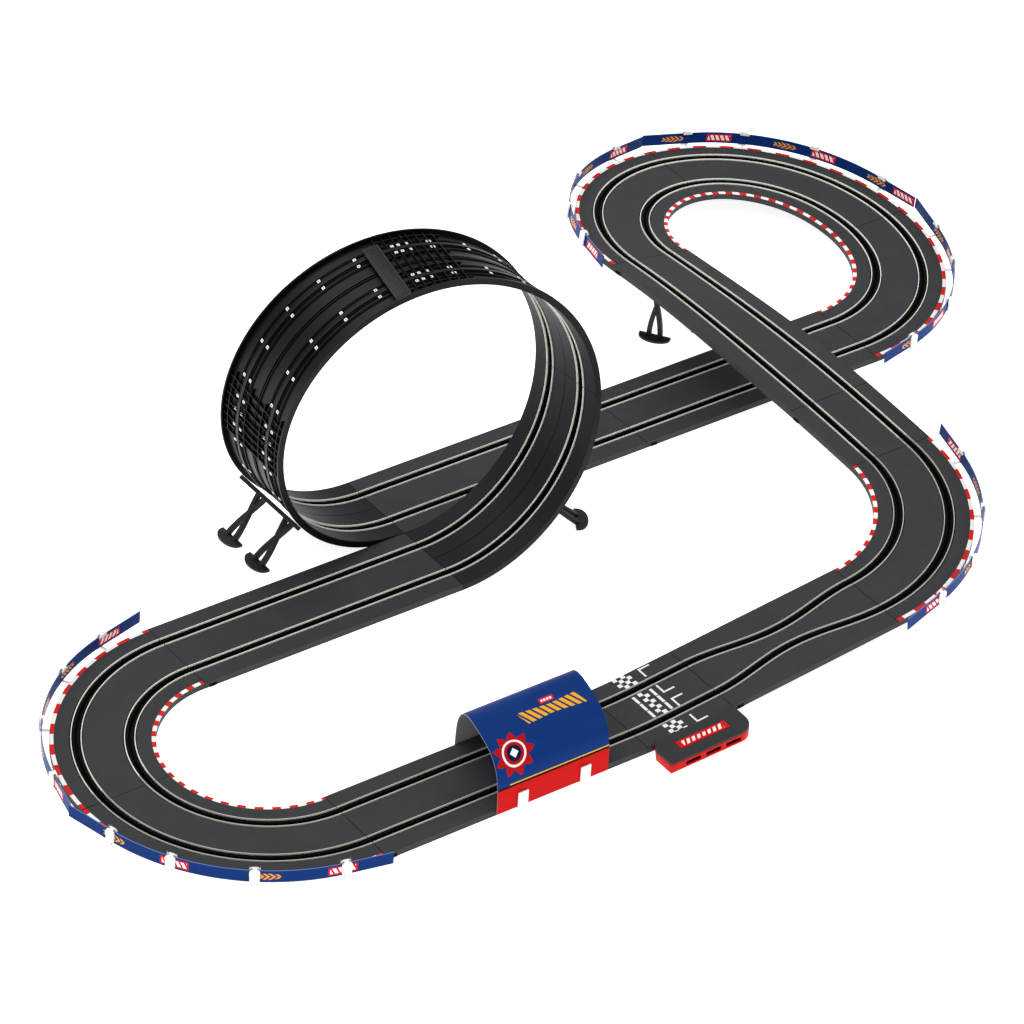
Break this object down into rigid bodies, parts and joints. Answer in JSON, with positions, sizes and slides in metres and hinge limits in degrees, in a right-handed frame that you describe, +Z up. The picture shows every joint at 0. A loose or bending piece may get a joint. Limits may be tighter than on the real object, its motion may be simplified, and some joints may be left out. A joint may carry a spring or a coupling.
{
  "type": "slot car track set",
  "caption": "Slot car track layout: a closed circuit with a vertical loop, bridge crossing, walled curves, narrowing lanes, plug-in power housing and a lift-off tunnel.",
  "frame": {"origin": "on the floor, at the middle of the set's bounding box", "axes": "+X along the straights, from the left curve towards the bridge end; +Y from the tunnel side to the loop and far curve; +Z up"},
  "size_m": [1.514, 0.969, 0.3808],
  "materials": {
    "track": "matte dark grey with a fine grain",
    "loop": "satin bluish black",
    "rail": "dull plated strip",
    "barrier": "printed strip, royal blue",
    "post": "white, satin",
    "clip": "milky white, satin",
    "tunnel": "printed sheet, royal blue over a red band",
    "cover": "matte dark grey",
    "base": "red, satin",
    "label": "printed red plate with plain white marks",
    "board": "green lacquered board, hidden",
    "socket": "black",
    "support": "matte brownish black"
  },
  "bodies": {
    "circuit": {"track_tunnel_straight": "track", "track_connecting_section": "track", "track_narrow_section": "track", "track_right_curve": "track", "track_short_straight": "track", "track_bridge_straight": "track", "track_far_curve_1": "track", "track_far_curve_2": "track", "track_far_curve_3": "track", "track_underpass_straight": "track", "track_exit_straight": "track", "track_return_straight": "track", "track_left_curve_1": "track", "track_left_curve_2": "track", "loop_arc_1": "loop", "loop_arc_2": "loop", "loop_arc_3": "loop", "loop_arc_4": "loop", "rail_right_lane_outer": "rail", "rail_right_lane_inner": "rail", "rail_left_lane_inner": "rail", "rail_left_lane_outer": "rail", "left_barrier_1": "barrier", "left_barrier_2": "barrier", "right_barrier_1": "barrier", "far_barrier_1": "barrier", "far_barrier_2": "barrier", "far_barrier_3": "barrier", "left_post_2": "post", "left_post_4": "post", "left_post_6": "post", "left_post_8": "post", "right_post_2": "post", "right_post_4": "post", "far_post_2": "post", "far_post_4": "post", "far_post_6": "post", "far_post_8": "post", "far_post_10": "post", "far_post_12": "post", "tunnel_clip_near_1": "clip", "tunnel_clip_near_2": "clip", "tunnel_clip_away_1": "clip", "tunnel_clip_away_2": "clip", "housing_cover": "cover", "housing_base": "base", "housing_label": "label", "circuit_board": "board", "power_socket": "socket", "controller_socket_1": "socket", "controller_socket_2": "socket", "loop_strut_1": "support", "loop_strut_2": "support", "loop_stabiliser": "support", "bridge_support_west": "support", "bridge_support_east": "support", "loop_strap": "support", "loop_tie_plate": "support"},
    "tunnel": {"tunnel_arch": "tunnel"}
  },
  "joints": [
    {"name": "tunnel_lift", "type": "slide", "parent": "circuit", "child": "tunnel", "axis": [0, 0, 1], "range_m": [0, 0.1]}
  ]
}
